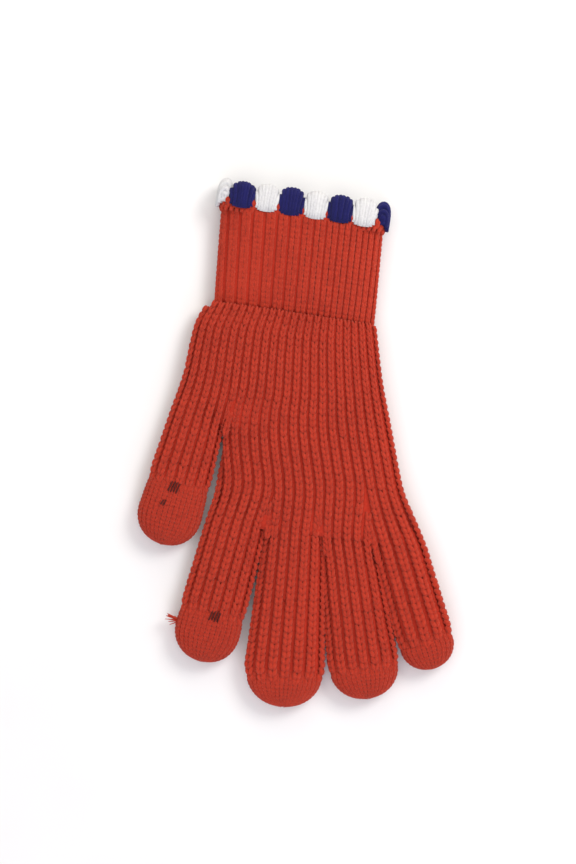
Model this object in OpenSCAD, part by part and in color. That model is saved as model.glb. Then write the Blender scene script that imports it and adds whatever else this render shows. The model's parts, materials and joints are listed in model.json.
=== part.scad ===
// Rib-knit touchscreen glove for the right hand, lying on its back with the palm up.
// +Z is up out of the palm, +Y runs towards the cuff, and the origin is under the middle of the glove.
// Each tube of knitting is a hollow sleeve, lofted through ovals that lie flat on the table.

/* [Fabric] */
// Thickness of the knitted wall
wall = 2.2; // [2:0.1:2.6]
// Height of the finger and thumb tubes as they lie
finger_h = 13; // [12:0.5:14]
// Height of the hand at its fullest
hand_h = 15.5; // [14.5:0.5:17]
// Free space at each hinge line and beside each finger
gap = 0.3; // [0.2:0.1:0.5]

/* [Cuff] */
// Width of the cuff, laid flat
cuff_w = 73; // [70:0.2:76]
// Length of the cuff from the wrist to its mouth
cuff_len = 41.5; // [34:0.5:50]
// Slope of the cuff's mouth and of the wrist line
cuff_turn = 8.5; // [6:0.5:10]
// How far the cuff leans towards the little finger
cuff_lean = 5; // [3:0.5:8]
// Height of the cuff at its mouth
mouth_h = 17; // [16.5:0.5:19]
// How far the scallops spread the mouth beyond the cuff's own width
mouth_spread = 4; // [2:0.5:5]

/* [Edging] */
// Number of scallops round the mouth, an even number so that the colours alternate
scallop_count = 14; // [14:2:14]
// Size of one scallop: along the edge, away from the cuff, and through
scallop_size = [10.8, 11.4, 6]; // [5:0.2:12]
// Width of the red edging that the scallops are worked on
band_len = 3; // [2:0.5:4]

/* [Finger places] */
// Middle of the thumb's hinge line
thumb_at = [-41.8, 13.2]; // [-60:0.1:60]
// Middle of the index finger's hinge line
index_at = [-25.7, -36]; // [-60:0.1:60]
// Middle of the middle finger's hinge line
middle_at = [0.2, -41]; // [-60:0.1:60]
// Middle of the ring finger's hinge line
ring_at = [24.6, -50.5]; // [-60:0.1:60]
// Middle of the little finger's hinge line
little_at = [48.2, -51]; // [-60:0.1:60]

/* [Finger sizes] */
// Thumb: width at the hinge line, width at the tip, length, length of the plain tip
thumb_size = [24, 28.6, 58.5, 29.5]; // [8:0.1:80]
// Index finger: the same four sizes
index_size = [24.8, 28.6, 60.5, 25]; // [8:0.1:80]
// Middle finger: the same four sizes
middle_size = [24, 34.6, 73.8, 20]; // [8:0.1:80]
// Ring finger: the same four sizes
ring_size = [22.2, 30.6, 61, 18]; // [8:0.1:80]
// Little finger: the same four sizes
little_size = [21.6, 24, 48.6, 15]; // [8:0.1:80]

/* [Finger directions] */
// How far each finger leans from straight down: thumb, index, middle and ring
lean = [-16.5, -15.2, -4.2, 7.6]; // [-25:0.1:20]
// The same for the little finger
little_lean = 16; // [10:0.5:20]
// Turn of the thumb's hinge line
thumb_hinge_turn = -32; // [-36:1:-24]
// Where the middle knuckle lies, as a share of the finger's length
knuckle_share = 0.36; // [0.34:0.01:0.38]

/* [Touch thread] */
// Place of the thumb's stitches
thumb_touch_at = [-52.4, -18]; // [-80:0.1:80]
// Place of the index finger's stitches
index_touch_at = [-34.6, -74.4]; // [-80:0.1:80]
// Thickness of the conductive thread
thread_d = 0.9; // [0.6:0.1:1.2]
// Height of the stitched zigzag
zigzag_len = 6; // [4:0.5:8]

/* [Hidden] */
red = [0.71, 0.2, 0.15];
blue = [0.09, 0.07, 0.45];
white = [0.95, 0.94, 0.93];
dark_grey = [0.24, 0.1, 0.08];

ring_points = 32;
squareness = 2.5; // superellipse exponent of every cross-section
belly = 0.46; // height of an oval's widest line, as a share of its own height
tip_rings = 6; // ovals that round off a tip
tip_squareness = 2.2; // how blunt a tip is, seen from above
tip_round = 0.5; // length of the round end, as a share of the tip's width
far = 200; // reach of the cutting prisms
seam_h = 13; // height of the cuff and hand where they join

wrist_at = [0, 58.4];
cuff_dir = [sin(cuff_lean), cos(cuff_lean)];
seam_dir = [cos(cuff_turn), -sin(cuff_turn)];

// ---- ovals and sleeves ----

function power(v, e) = sign(v) * pow(abs(v), e);

// One cross-section: it stands on the line from l to r in plan, h high, drawn in by inset all round.
function oval(l, r, h, inset) =
    let (dir = (r - l) / norm(r - l),
         half = norm(r - l) / 2 - inset,
         mid = (l + r) / 2,
         body = max(h - 2 * inset, 0.2),
         floor_z = inset,
         widest = floor_z + belly * body)
    [for (i = [0:ring_points - 1])
        let (a = 360 * i / ring_points,
             along = half * power(cos(a), 2 / squareness),
             z = max(floor_z, widest + (1 - belly) * body * power(sin(a), 2 / squareness)))
        [mid[0] + along * dir[0], mid[1] + along * dir[1], z]];

// The same oval given by its middle, width and turn, for a tip that closes towards its own middle height.
function tip_oval(at, w, turn, h, lift, inset) =
    let (dir = [cos(turn), sin(turn)])
    [for (p = oval(at - dir * w / 2, at + dir * w / 2, h, inset)) [p[0], p[1], p[2] + lift]];

function flat(rings) = [for (ring = rings, p = ring) p];

// Side faces between ring k and ring k + 1 of a stack that starts at point number s.
function side(k, s, out) =
    [for (i = [0:ring_points - 1])
        let (j = (i + 1) % ring_points,
             a = s + k * ring_points + i, b = s + k * ring_points + j,
             c = b + ring_points, d = a + ring_points)
        each out ? [[a, c, b], [a, d, c]] : [[a, b, c], [a, c, d]]];

// The flat rim between an outer ring and an inner ring.
function rim(outer_start, inner_start, first) =
    [for (i = [0:ring_points - 1])
        let (j = (i + 1) % ring_points,
             a = outer_start + i, b = outer_start + j, c = inner_start + j, d = inner_start + i)
        each first ? [[a, b, c], [a, c, d]] : [[a, c, b], [a, d, c]]];

function disc(start, out) =
    [out ? [for (i = [ring_points - 1:-1:0]) start + i] : [for (i = [0:ring_points - 1]) start + i]];

// A hollow sleeve, open at its first ring and at its last one, or closed there if it is a cap.
module sleeve(outer, inner, cap = false) {
    n = len(outer);
    m = len(inner);
    s = n * ring_points;
    polyhedron(
        points = concat(flat(outer), flat(inner)),
        faces = concat(
            [for (k = [0:n - 2]) each side(k, 0, true)],
            [for (k = [0:m - 2]) each side(k, s, false)],
            rim(0, s, true),
            cap ? disc((n - 1) * ring_points, true) : rim((n - 1) * ring_points, s + (m - 1) * ring_points, false),
            cap ? disc(s + (m - 1) * ring_points, false) : []));
}

// ---- hand and palm: one knitted tube that forks at the thumb's crotch ----

// Each row is one oval, from the wrist down: left end, right end, height.
hand_rows = [
    [[-36.4, 63.9], [36.6, 53], seam_h],
    [[-43.2, 57.4], [37.4, 47], 14.5],
    [[-46.4, 44], [38.2, 37], hand_h],
    [[-49.4, 30], [39.6, 26], hand_h],
    [[-53, 17.5], [41.8, 15], hand_h - 0.5],
    [[-57.4, 5.5], [43.8, 4.5], 14.5]];
palm_rows = [
    [[-31.3, 5.2], [43.8, 4.4], 14.5],
    [[-32.8, -9], [46.2, -9], 15],
    [[-34.8, -21], [48.8, -21], 14.5],
    [[-38, -33.5], [53.2, -33.5], 13.5],
    [[-41.6, -44], [57, -44], finger_h],
    [[-43.4, -52], [59.8, -52], finger_h]];

function row_rings(rows, inset) = [for (row = rows) oval(row[0], row[1], row[2], inset)];
module row_sleeve(rows) { sleeve(row_rings(rows, 0), row_rings(rows, wall)); }

// Boundaries between neighbouring fingers
index_middle_x = (index_at[0] + index_size[0] / 2 + middle_at[0] - middle_size[0] / 2) / 2;
middle_ring_x = (middle_at[0] + middle_size[0] / 2 + ring_at[0] - ring_size[0] / 2) / 2;
ring_little_x = (ring_at[0] + ring_size[0] / 2 + little_at[0] - little_size[0] / 2) / 2;
thumb_crotch_at = thumb_at + thumb_size[0] / 2 * [cos(thumb_hinge_turn), sin(thumb_hinge_turn)];

module prism(outline) {
    translate([0, 0, -far / 2]) linear_extrude(far) polygon(outline);
}

// Everything beyond the finger hinge lines
module finger_zone() {
    prism([[-far, index_at[1]], [index_middle_x, index_at[1]],
        [index_middle_x, middle_at[1]], [middle_ring_x, middle_at[1]],
        [middle_ring_x, ring_at[1]], [far, ring_at[1]], [far, -far], [-far, -far]]);
}

// Everything beyond the thumb's hinge line, left of the palm
module thumb_zone() {
    out = [cos(thumb_hinge_turn), sin(thumb_hinge_turn)];
    prism([thumb_crotch_at, thumb_at - far * out, [-far, -far], [thumb_crotch_at[0], -far]]);
}

module hand() {
    color(red) difference() {
        row_sleeve(hand_rows);
        thumb_zone();
    }
}

module palm() {
    color(red) difference() {
        row_sleeve(palm_rows);
        finger_zone();
    }
}

// ---- darned stitches that draw the palm and back together between two fingers ----

module crotch(x, y, size) {
    sink = 0.5; // how far the darn bites into the wall above and below
    color(red) translate([x - size[0] / 2, y, wall - sink])
        cube([size[0], size[1], finger_h - 2 * (wall - sink)]);
}
module thumb_crotch() { crotch(thumb_crotch_at[0] + 2, thumb_crotch_at[1] - 1, [3, 4]); }
module index_middle_crotch() {
    crotch(index_middle_x + 1.2, middle_at[1] + gap, [2.4, index_at[1] - middle_at[1] + 2]);
}
module middle_ring_crotch() {
    crotch(middle_ring_x + 1.2, ring_at[1] + gap, [2.4, middle_at[1] - ring_at[1] + 2]);
}
module ring_little_crotch() { crotch(ring_little_x, ring_at[1] + gap, [2.4, 4]); }

// ---- fingers and thumb ----

function down(at, turn, s) = at + s * [sin(turn), -cos(turn)];
function line_oval(at, w, turn, inset) =
    let (dir = [cos(turn), sin(turn)]) oval(at - dir * w / 2, at + dir * w / 2, finger_h, inset);

// Places along a finger: hinge line, middle knuckle and start of the plain tip.
// A finger's hinge lines run straight across the glove, and the tip is square to the finger.
function knuckle_at(at, size, turn) = at + size[2] * knuckle_share * [tan(turn) , -1];
function plain_at(at, size, turn) = down(at, turn, size[2] - size[3]);
function knuckle_w(size, turn) = (size[0] + (size[1] - size[0]) * 0.5) / cos(turn);

module lower_sleeve(at, size, turn, hinge_turn, knuckle_turn) {
    start = down(at, hinge_turn, gap);
    end = knuckle_at(at, size, turn);
    third = start + (end - start) / 3;
    w_end = knuckle_w(size, turn - knuckle_turn);
    rings = function(inset) [line_oval(start, size[0], hinge_turn, inset),
        line_oval(third, (2 * size[0] + w_end) / 3, (2 * hinge_turn + knuckle_turn) / 3, inset),
        line_oval(end, w_end, knuckle_turn, inset)];
    color(red) sleeve(rings(0), rings(wall));
}

module upper_sleeve(at, size, turn, knuckle_turn) {
    start = down(knuckle_at(at, size, turn), knuckle_turn, gap);
    end = plain_at(at, size, turn);
    rings = function(inset) [line_oval(start, knuckle_w(size, turn - knuckle_turn), knuckle_turn, inset),
        line_oval((start + end) / 2, (knuckle_w(size, 0) + size[1]) / 2, (turn + knuckle_turn) / 2, inset),
        line_oval(end, size[1], turn, inset)];
    color(red) sleeve(rings(0), rings(wall));
}

// The plain-knit tip: a straight stretch, then a cup whose ovals shrink along a blunt curve.
function tip_stack(at, size, turn, inset) =
    let (cup = size[1] * tip_round, straight = size[3] - cup, body = finger_h - 2 * inset)
    concat([tip_oval(plain_at(at, size, turn), size[1] - 2 * inset, turn, body, inset, 0)],
        [for (i = [0:tip_rings])
            let (s = sin(90 * i / tip_rings * 0.97),
                 shrink = pow(1 - pow(s, tip_squareness), 1 / tip_squareness),
                 tall = 0.35 + 0.65 * shrink)
            tip_oval(down(plain_at(at, size, turn), turn, straight + (cup - inset) * s),
                (size[1] - 2 * inset) * shrink, turn, body * tall, inset + body * belly * (1 - tall), 0)]);

module plain_tip(at, size, turn) {
    color(red) sleeve(tip_stack(at, size, turn, 0), tip_stack(at, size, turn, wall), cap = true);
}

// ---- touch thread: a zigzag on the pad, sewn through the wall to a bar that meets the skin ----

module strand(a, b) {
    v = b - a;
    translate(a) rotate([0, acos(v[2] / norm(v)), atan2(v[1], v[0])]) cylinder(d = thread_d, h = norm(v), $fn = 6);
}

module touch_thread(mid, turn) {
    top = finger_h - 0.25;
    under = finger_h - wall - 0.4;
    w = zigzag_len * 0.5;
    place = function(x, y, z) [mid[0] + x * cos(turn) + y * -sin(turn), mid[1] + x * sin(turn) + y * cos(turn), z];
    corners = [place(-w / 2, -zigzag_len / 2, top), place(-w / 2, zigzag_len / 2, top),
        place(w / 2, -zigzag_len / 2, top), place(w / 2, zigzag_len / 2, top)];
    feet = [place(-w / 2, -zigzag_len / 2, under), place(w / 2, zigzag_len / 2, under)];
    color(dark_grey) {
        for (i = [0:2]) strand(corners[i], corners[i + 1]);
        strand(feet[0], corners[0]);
        strand(feet[1], corners[3]);
        strand(feet[0], feet[1]);
    }
}

module thumb_lower() { lower_sleeve(thumb_at, thumb_size, lean[0], thumb_hinge_turn, lean[0]); }
module thumb_upper() { upper_sleeve(thumb_at, thumb_size, lean[0], lean[0]); }
module thumb_tip() { plain_tip(thumb_at, thumb_size, lean[0]); }
module thumb_touch_thread() { touch_thread(thumb_touch_at, lean[0]); }
module index_lower() { lower_sleeve(index_at, index_size, lean[1], 0, 0); }
module index_upper() { upper_sleeve(index_at, index_size, lean[1], 0); }
module index_tip() { plain_tip(index_at, index_size, lean[1]); }
module index_touch_thread() { touch_thread(index_touch_at, lean[1]); }
module middle_lower() { lower_sleeve(middle_at, middle_size, lean[2], 0, 0); }
module middle_upper() { upper_sleeve(middle_at, middle_size, lean[2], 0); }
module middle_tip() { plain_tip(middle_at, middle_size, lean[2]); }
module ring_lower() { lower_sleeve(ring_at, ring_size, lean[3], 0, 0); }
module ring_upper() { upper_sleeve(ring_at, ring_size, lean[3], 0); }
module ring_tip() { plain_tip(ring_at, ring_size, lean[3]); }
module little_lower() { lower_sleeve(little_at, little_size, little_lean, 0, 0); }
module little_upper() { upper_sleeve(little_at, little_size, little_lean, 0); }
module little_tip() { plain_tip(little_at, little_size, little_lean); }

// ---- loose ends of yarn that were darned in at the tips ----

module yarn_end(at, out_turn) {
    tip = [at[0] + 4.5 * cos(out_turn), at[1] + 4.5 * sin(out_turn), at[2] + 1.5];
    color(red) strand(at, tip);
}
module index_yarn_end() { yarn_end([-53, -77.5, 6], 160); }
module little_yarn_end() { yarn_end([60.8, -58.5, 6], 30); }

// ---- cuff and edging ----

function cuff_line(s, w) = [wrist_at + s * cuff_dir - w / 2 * seam_dir, wrist_at + s * cuff_dir + w / 2 * seam_dir];
function cuff_oval(s, w, h, inset) = let (line = cuff_line(s, w)) oval(line[0], line[1], h, inset);

module cuff() {
    rings = function(inset) [cuff_oval(cuff_len, cuff_w, mouth_h, inset),
        cuff_oval(cuff_len * 0.55, cuff_w - 1, (mouth_h + seam_h) / 2, inset),
        cuff_oval(gap, cuff_w - 0.4, seam_h, inset)];
    color(red) sleeve(rings(0), rings(wall));
}

// The red band that the scallops are worked on
module edging_band() {
    rings = function(inset) [cuff_oval(cuff_len + band_len, cuff_w - 0.8, mouth_h, inset),
        cuff_oval(cuff_len, cuff_w - 0.8, mouth_h, inset)];
    color(red) sleeve(rings(0.4), rings(wall - 0.4));
}

// Place and facing of the point at share t of the way round the mouth, from the left side over the palm.
function mouth_point(t) =
    let (r = (mouth_h - scallop_size[2]) / 2,
         flat_len = cuff_w + mouth_spread - mouth_h,
         quarter = 90 * r * PI / 180,
         whole = 2 * flat_len + 4 * quarter,
         s = (t * whole) % whole,
         top = s < quarter ? [-flat_len / 2 - r * cos(s / quarter * 90), r * sin(s / quarter * 90), 90 + 90 - s / quarter * 90]
             : s < quarter + flat_len ? [-flat_len / 2 + s - quarter, r, 90]
             : s < 3 * quarter + flat_len
                 ? let (a = 90 - (s - quarter - flat_len) / quarter * 90) [flat_len / 2 + r * cos(a), r * sin(a), a]
             : s < 3 * quarter + 2 * flat_len ? [flat_len / 2 - (s - 3 * quarter - flat_len), -r, -90]
             : let (a = 270 - (s - 3 * quarter - 2 * flat_len) / quarter * 90) [-flat_len / 2 + r * cos(a), r * sin(a), a])
    top;

module scallop(i) {
    p = mouth_point((i - 1) / scallop_count);
    mid = wrist_at + (cuff_len + band_len + scallop_size[1] / 2 - 0.8) * cuff_dir + p[0] * seam_dir;
    color(i % 2 == 1 ? white : blue)
        translate([mid[0], mid[1], scallop_size[2] / 2 + (mouth_h - scallop_size[2]) / 2 + p[1]])
            rotate([0, 0, -cuff_turn]) rotate([0, 90 - p[2], 0])
                scale([scallop_size[0] / 2, scallop_size[1] / 2, scallop_size[2] / 2]) sphere(r = 1, $fn = 14);
}

// ---- the whole glove, moved so that the origin is under its middle ----

home = [-0.8, -1.9, 0];

translate(home) hand();
translate(home) palm();
translate(home) cuff();
translate(home) edging_band();
for (i = [1:scallop_count]) translate(home) scallop(i);

translate(home) thumb_crotch();
translate(home) index_middle_crotch();
translate(home) middle_ring_crotch();
translate(home) ring_little_crotch();

translate(home) thumb_lower();
translate(home) thumb_upper();
translate(home) thumb_tip();
translate(home) thumb_touch_thread();
translate(home) index_lower();
translate(home) index_upper();
translate(home) index_tip();
translate(home) index_touch_thread();
translate(home) index_yarn_end();
translate(home) middle_lower();
translate(home) middle_upper();
translate(home) middle_tip();
translate(home) ring_lower();
translate(home) ring_upper();
translate(home) ring_tip();
translate(home) little_lower();
translate(home) little_upper();
translate(home) little_tip();
translate(home) little_yarn_end();
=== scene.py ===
import json
import math

import bpy
import numpy as np
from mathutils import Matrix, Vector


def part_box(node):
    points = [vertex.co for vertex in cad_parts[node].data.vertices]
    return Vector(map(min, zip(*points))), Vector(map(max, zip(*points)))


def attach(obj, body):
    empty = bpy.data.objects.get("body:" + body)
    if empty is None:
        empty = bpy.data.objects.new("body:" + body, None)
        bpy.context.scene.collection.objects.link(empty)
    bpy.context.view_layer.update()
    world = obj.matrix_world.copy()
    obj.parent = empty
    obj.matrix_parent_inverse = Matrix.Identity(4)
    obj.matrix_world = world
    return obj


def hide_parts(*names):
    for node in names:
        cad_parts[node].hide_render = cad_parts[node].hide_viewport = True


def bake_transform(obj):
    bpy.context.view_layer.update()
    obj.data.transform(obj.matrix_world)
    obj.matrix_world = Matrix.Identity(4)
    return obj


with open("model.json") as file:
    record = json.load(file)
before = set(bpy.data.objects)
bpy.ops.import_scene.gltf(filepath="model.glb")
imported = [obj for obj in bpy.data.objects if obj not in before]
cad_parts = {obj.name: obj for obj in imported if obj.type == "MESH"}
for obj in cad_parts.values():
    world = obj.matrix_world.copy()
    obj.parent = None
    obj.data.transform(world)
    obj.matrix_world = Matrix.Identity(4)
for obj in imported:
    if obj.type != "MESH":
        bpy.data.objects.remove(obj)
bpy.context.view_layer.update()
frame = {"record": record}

# A chunky rib-knit touchscreen glove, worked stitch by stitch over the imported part.
# Shapes are worked out in millimetres and put into the meshes in metres.

mm = 0.001
dice = np.random.default_rng(11)
joints = {j["name"]: j for j in frame["record"]["behaviour"]["joints"]}


def hingeAt(name):
    # a hinge's place in millimetres
    return np.array(joints[name]["pos_m"]) / mm


wristAbove = 58.4    # how far the wrist line lies above the plan's own origin
home = hingeAt("wrist_fold")[:2] - [0, wristAbove]
upwards = np.array([0, 0, 1.0])


def smooth(t):
    # 3t squared less 2t cubed, held between 0 and 1
    t = np.clip(t, 0, 1)
    return t * t * (3 - 2 * t)


def unit(v):
    # each vector divided by its own length
    return v / np.maximum(np.linalg.norm(v, axis=-1, keepdims=True), 1e-9)


def putMesh(name, points, faces, uv=None, tone=None, material=None):
    # points in mm; faces is a list of index arrays, each with one number of corners
    mesh = bpy.data.meshes.new(name)
    mesh.vertices.add(len(points))
    mesh.vertices.foreach_set("co", (points * mm).astype(np.float32).ravel())
    corners = np.concatenate([f.ravel() for f in faces])
    counts = np.concatenate([np.full(len(f), f.shape[1]) for f in faces])
    mesh.loops.add(len(corners))
    mesh.loops.foreach_set("vertex_index", corners.astype(np.int32))
    mesh.polygons.add(len(counts))
    mesh.polygons.foreach_set("loop_start", (np.cumsum(counts) - counts).astype(np.int32))
    mesh.polygons.foreach_set("loop_total", counts.astype(np.int32))
    mesh.polygons.foreach_set("use_smooth", np.ones(len(counts), bool))
    if uv is not None:
        layer = mesh.uv_layers.new(name="yarn")
        layer.data.foreach_set("uv", uv[corners].astype(np.float32).ravel())
    if tone is not None:
        mesh.attributes.new("tone", "FLOAT", "POINT").data.foreach_set("value", tone.astype(np.float32))
    mesh.update(calc_edges=True)
    obj = bpy.data.objects.new(name, mesh)
    bpy.context.scene.collection.objects.link(obj)
    if material:
        mesh.materials.append(material)
    return obj


def tubes(paths, radius, ref, sides):
    # a round yarn along every path: rings of points round the path, joined by quads and closed at both ends
    n, rings, _ = paths.shape
    forward = unit(np.gradient(paths, axis=1))
    side = unit(np.cross(forward, ref))
    up = np.cross(side, forward)
    turn = np.linspace(0, 2 * math.pi, sides, endpoint=False)
    ring = side[:, :, None] * np.cos(turn)[:, None] + up[:, :, None] * np.sin(turn)[:, None]
    points = paths[:, :, None] + ring * radius[:, :, None, None]
    first = (np.arange(n) * rings * sides)[:, None, None]
    i, k = np.meshgrid(np.arange(rings - 1), np.arange(sides), indexing="ij")
    a, b = i * sides + k, i * sides + (k + 1) % sides
    quads = (first + np.stack([a, a + sides, b + sides, b], -1).reshape(1, -1, 4)).reshape(-1, 4)
    start = first[:, 0] + np.arange(sides)
    end = first[:, 0] + (rings - 1) * sides + np.arange(sides)[::-1]
    length = np.cumsum(np.linalg.norm(np.diff(paths, axis=1), axis=2), 1)
    length = np.concatenate([np.zeros((n, 1)), length], 1)
    uv = np.stack(np.broadcast_arrays((turn / 2 / math.pi)[None, None], length[:, :, None] / 10), -1)
    return points.reshape(-1, 3), [quads, np.concatenate([start, end])], uv.reshape(-1, 2)


def putTubes(name, paths, radius, ref, material, sides, tone=None):
    # many yarns as one piece, each with its own tone
    n, rings = paths.shape[:2]
    radius = np.broadcast_to(radius, (n, rings))
    ref = np.broadcast_to(ref, (n, rings, 3))
    points, faces, uv = tubes(paths, radius, ref, sides)
    if tone is None:
        tone = dice.random(n)
    return putMesh(name, points, faces, uv, np.repeat(tone, rings * sides), material)


def putSleeve(name, outer, inner, material, closed=False):
    # a tube of cloth with a wall: outer and inner rings, joined by a rim at each open end
    rows, cols = outer.shape[:2]
    i, k = np.meshgrid(np.arange(rows - 1), np.arange(cols), indexing="ij")
    a, b = (i * cols + k).ravel(), (i * cols + (k + 1) % cols).ravel()
    total = rows * cols
    skin = np.stack([a, a + cols, b + cols, b], 1)
    lining = total + skin[:, ::-1]
    k = np.arange(cols)
    nextK = (k + 1) % cols
    faces = [skin, lining, np.stack([nextK, total + nextK, total + k, k], 1)]
    last = total - cols
    if closed:
        faces += [(last + k[::-1])[None], (total + last + k)[None]]
    else:
        faces.append(np.stack([last + k, total + last + k, total + last + nextK, last + nextK], 1))
    points = np.concatenate([outer.reshape(-1, 3), inner.reshape(-1, 3)])
    around = np.tile(k / cols, rows * 2)
    return putMesh(name, points, faces, np.stack([around, points[:, 1] / 10], 1), None, material)


# The cross-section of every tube of knitting as it lies flat: a rounded top on a flatter underside.
oval = {
    "topPower": 0.8, "bottomPower": 0.62,   # 1 is an ellipse, less is squarer
    "belly": 0.46,                          # share of the height that lies below the widest line
    "steps": 81,
    "around": 72,                           # points round a whole oval
}


def ovalArc(width, height, share, side, inset):
    # x is half the width by the cosine to a power, z is the rise by the sine to the same power;
    # share runs from 0 at the left fold to 1 at the right fold by length along the curve
    angle = np.linspace(math.pi, 0, oval["steps"])
    body = height - 2 * inset
    half = (width / 2 - inset)[:, None]
    power = oval["topPower"] if side > 0 else oval["bottomPower"]
    rise = body * ((1 - oval["belly"]) if side > 0 else -oval["belly"])
    x = half * np.sign(np.cos(angle)) * np.abs(np.cos(angle)) ** power
    z = rise[:, None] * np.abs(np.sin(angle)) ** power
    run = np.cumsum(np.hypot(np.diff(x, axis=1), np.diff(z, axis=1)), 1)
    run = np.concatenate([np.zeros((len(x), 1)), run / run[:, -1:]], 1)
    offset = np.array([np.interp(s, r, v) for s, r, v in zip(share, run, x)])
    lift = np.array([np.interp(s, r, v) for s, r, v in zip(share, run, z)])
    return offset, lift + (inset + oval["belly"] * body)[:, None]


def onLine(left, right, height, share, side, inset):
    # points on the oval that stands on the line from left to right in plan
    line = right - left
    width = np.linalg.norm(line, axis=1)
    offset, z = ovalArc(width, height, share, side, inset)
    xy = ((left + right) / 2)[:, None] + offset[..., None] * (line / width[:, None])[:, None]
    return np.concatenate([xy, z[..., None]], 2)


def wholeOval(left, right, height, inset):
    # the closed oval, for the backing: over the top from left to right and back underneath
    count = oval["around"] // 2
    share = np.broadcast_to(np.arange(count) / count, (len(left), count))
    inset = np.broadcast_to(inset, len(left))
    top = onLine(left, right, height, share, 1, inset)
    bottom = onLine(left, right, height, 1 - share, -1, inset)
    return np.concatenate([top, bottom], 1)


# The glove's plan: lines across the hand with the thumb, then across the palm below it.
# Each line is its left end, its right end and the height of the knitting there.
handLines = np.array([
    [-37.4, 63.9, 36.6, 53, 13.4], [-43.2, 57, 37.2, 47, 14.8], [-46.2, 44, 38.2, 37, 15.6],
    [-49, 30, 39.6, 26, 15.6], [-52.6, 17.5, 41.8, 15, 15.2], [-57, 5.5, 43.8, 4.5, 14.6]])
palmLines = np.array([
    [-30.6, 22, 41.2, 18, 15.2], [-31.3, 5.2, 43.8, 4.4, 14.8], [-32.4, -9, 46.2, -9, 15],
    [-34.4, -21, 48.8, -21, 14.6], [-37.8, -33.5, 53.2, -33.5, 13.8], [-41.6, -44, 57, -44, 13.2],
    [-43.4, -52, 59.8, -52, 13.2]])

hand = {
    "ribs": 24,              # ribs across the palm side, thumb included
    "palmRibs": 18,          # below the thumb; one more comes in at the fold
    "course": 2.85,          # length of one stitch
    "palmFrom": 26, "palmTo": 4,   # where the hand's layout gives way to the palm's
    "inset": 1.0,            # the ribs' middle line lies this deep under the outline
    "rootReach": 30,         # length over which the ribs gather into a finger
    "creaseReach": 13,       # length over which a crease between two fingers deepens
    "extraReach": 14,        # how far above the crease the ribs at a finger's sides begin
    "handEnd": 5,            # the hand's own lines end here, and the palm's fold rib comes in
    "palmTop": 19, "palmBottom": -52,
    "addedFrom": 8, "addedOver": 34,       # where the palm's added rib comes in, and over what length
    "evenOut": 5,            # the lines across are averaged this far to both sides
    "step": 0.8,             # spacing of the points along a rib
    "overWrist": 7, "overTip": 3.5,        # how far the ribs run past the wrist and into the tip
    "sinkDepth": 0.9, "sinkLength": 9,     # how they sink into the plain knitting there
    "shoulderLeft": 36.4, "shoulderRise": 5.2, "shoulderSlope": 1.15,   # the slant beside the thumb's wrist
    "narrowest": 1.0, "widest": 2.9,       # half-width of a rib
}

# Each finger: base and tip width, length, lean; turn of its hinge line and its knuckle line; length of the
# plain tip; place where the crease beside it is full depth; first rib and ribs that run in from the hand;
# extra ribs at the left and right side; columns of the plain tip.
fingers = {
    "thumb": dict(base=25.6, tip=29, length=58.5, lean=-16.5, hingeTurn=-32, kneeTurn=-16.5, plain=28,
                  crease=9, firstRib=0, ribs=6, left=0, right=1, columns=15),
    "index": dict(base=27.8, tip=29.4, length=60.5, lean=-15.2, hingeTurn=0, kneeTurn=0, plain=22,
                  crease=-36, firstRib=6, ribs=5, left=1, right=1, columns=15),
    "middle": dict(base=27.6, tip=35.2, length=73.8, lean=-4.2, hingeTurn=0, kneeTurn=0, plain=14,
                   crease=-38, firstRib=11, ribs=5, left=1, right=1, columns=18),
    "ring": dict(base=25.8, tip=31.4, length=61, lean=7.6, hingeTurn=0, kneeTurn=0, plain=14,
                 crease=-43, firstRib=16, ribs=4, left=1, right=2, columns=16),
    "little": dict(base=24.2, tip=24.8, length=48.6, lean=16, hingeTurn=0, kneeTurn=0, plain=13.5,
                   crease=-48, firstRib=20, ribs=4, left=1, right=0, columns=13),
}
tube = {
    "height": 13.4,
    "knuckle": 0.36,         # place of the knuckle, as a share of the length
    "bend": 12,              # length of the span of cloth past a hinge line
    "tipRound": 0.5, "tipPower": 2.2,      # length of the rounded end in tip widths, and its shape
    "endHeight": 0.3, "endWidth": 0.5,     # what is left of the height and the width at the very end
    "deepest": 0.4,          # an inset never goes deeper than this share of the height
}


def between(lines, y):
    # the line across the hand whose middle lies at y, with the kinks smoothed out
    order = np.argsort((lines[:, 1] + lines[:, 3]) / 2)
    at = ((lines[:, 1] + lines[:, 3]) / 2)[order]
    window = np.linspace(-hand["evenOut"], hand["evenOut"], 11)
    values = [np.mean([np.interp(y + w, at, lines[order, c]) for w in window], 0) for c in range(5)]
    left = np.stack(values[:2], 1) + home
    right = np.stack(values[2:4], 1) + home
    fix = y - (values[1] + values[3]) / 2
    left[:, 1] += fix
    right[:, 1] += fix
    return left, right, values[4]


def across(f, s):
    # the line across a finger, s along it from its hinge line; the end closes as a superellipse
    lean = math.radians(f["lean"])
    at = f["at"] + np.outer(s, [math.sin(lean), -math.cos(lean)])
    knee, plain = f["knee"], f["length"] - f["plain"]
    turn = np.radians(np.interp(s, [0, knee, plain], [f["hingeTurn"], f["kneeTurn"], f["lean"]]))
    base = f["base"] * math.cos(math.radians(f["hingeTurn"] - f["lean"]))
    width = np.interp(s, [0, f["length"] - f["tip"] / 2], [base, f["tip"]])
    past = np.clip((s - (f["length"] - f["tip"] * tube["tipRound"])) / (f["tip"] * tube["tipRound"]), 0, 1)
    shrink = (1 - past ** tube["tipPower"]) ** (1 / tube["tipPower"])
    width = np.maximum(width * shrink, tube["endWidth"]) / np.cos(turn - lean)
    height = tube["height"] * (tube["endHeight"] + (1 - tube["endHeight"]) * shrink)
    half = np.stack([np.cos(turn), np.sin(turn)], 1) * width[:, None] / 2
    return at - half, at + half, height, shrink


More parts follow.
